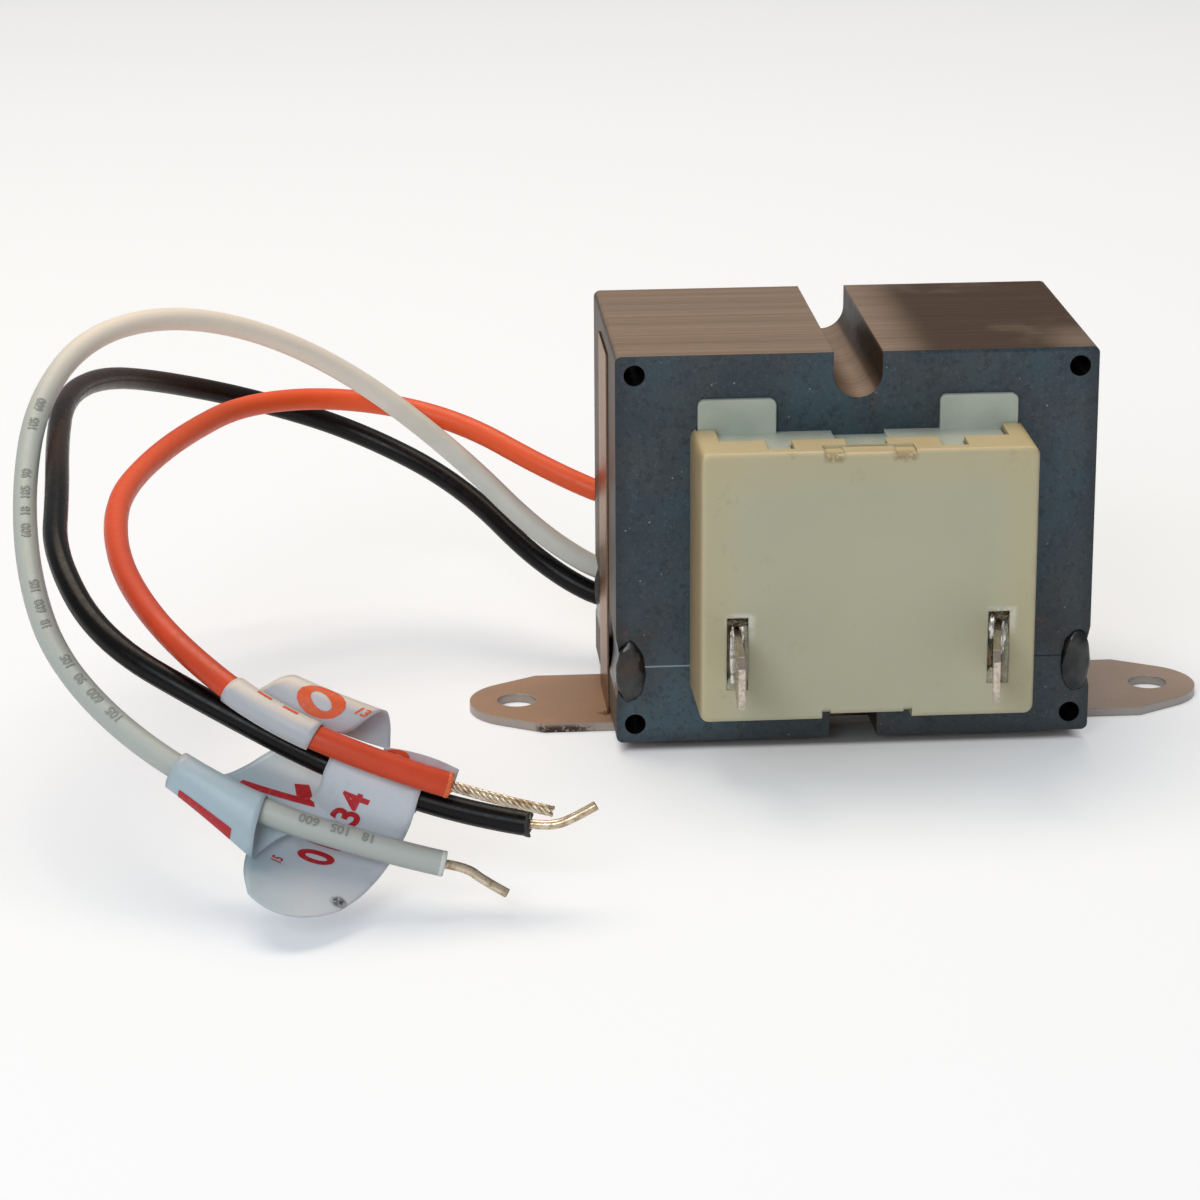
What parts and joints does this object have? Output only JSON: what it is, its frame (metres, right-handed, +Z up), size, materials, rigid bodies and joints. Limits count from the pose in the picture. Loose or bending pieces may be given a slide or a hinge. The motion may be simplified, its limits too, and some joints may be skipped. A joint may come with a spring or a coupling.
{
  "type": "dual voltage transformer",
  "caption": "Dual voltage transformer with a welded laminated core on an eared foot plate, moulded coil covers, push-on blade terminals and free leads with paper flags.",
  "frame": {"origin": "midway between the two foot holes, on the underside of the foot plate", "axes": "+X along the foot holes, to the right when the terminals face the viewer; +Y to the back, away from the terminals; +Z up"},
  "size_m": [0.1446, 0.1094, 0.049],
  "materials": {
    "plate_steel": "thin warm plating, satin, worn and rusty along the front edge",
    "strap_steel": "bright rolled strip",
    "core_steel": "dark varnish over stacked laminations, brown at the cut edges",
    "weld_steel": "melted, dark and glossy",
    "bobbin_plastic": "natural moulded nylon",
    "winding_wire": "enamelled copper wire",
    "coil_tape": "wrapped insulating tape",
    "cover_plastic": "cream moulded plastic, faintly translucent",
    "terminal_metal": "tin plated",
    "lead_white": "off-white insulation",
    "lead_black": "black insulation",
    "lead_orange": "orange insulation",
    "bare_wire": "tinned copper",
    "tag_paper": "white label paper"
  },
  "bodies": {
    "root": {"mounting_plate": "plate_steel", "core_strap": "strap_steel", "core_e_stack": "core_steel", "core_i_stack": "core_steel", "weld_bead_left": "weld_steel", "weld_bead_right": "weld_steel", "bobbin": "bobbin_plastic", "primary_winding": "winding_wire", "primary_tape": "coil_tape", "secondary_winding": "winding_wire", "secondary_tape": "coil_tape", "front_cover": "cover_plastic", "rear_cover": "cover_plastic", "terminal_left": "terminal_metal", "terminal_right": "terminal_metal", "lead_white": "lead_white", "lead_white_end": "bare_wire", "tag_white": "tag_paper", "lead_black": "lead_black", "lead_black_end": "bare_wire", "tag_black": "tag_paper", "lead_orange": "lead_orange", "lead_orange_end": "bare_wire", "tag_orange": "tag_paper"}
  },
  "joints": []
}
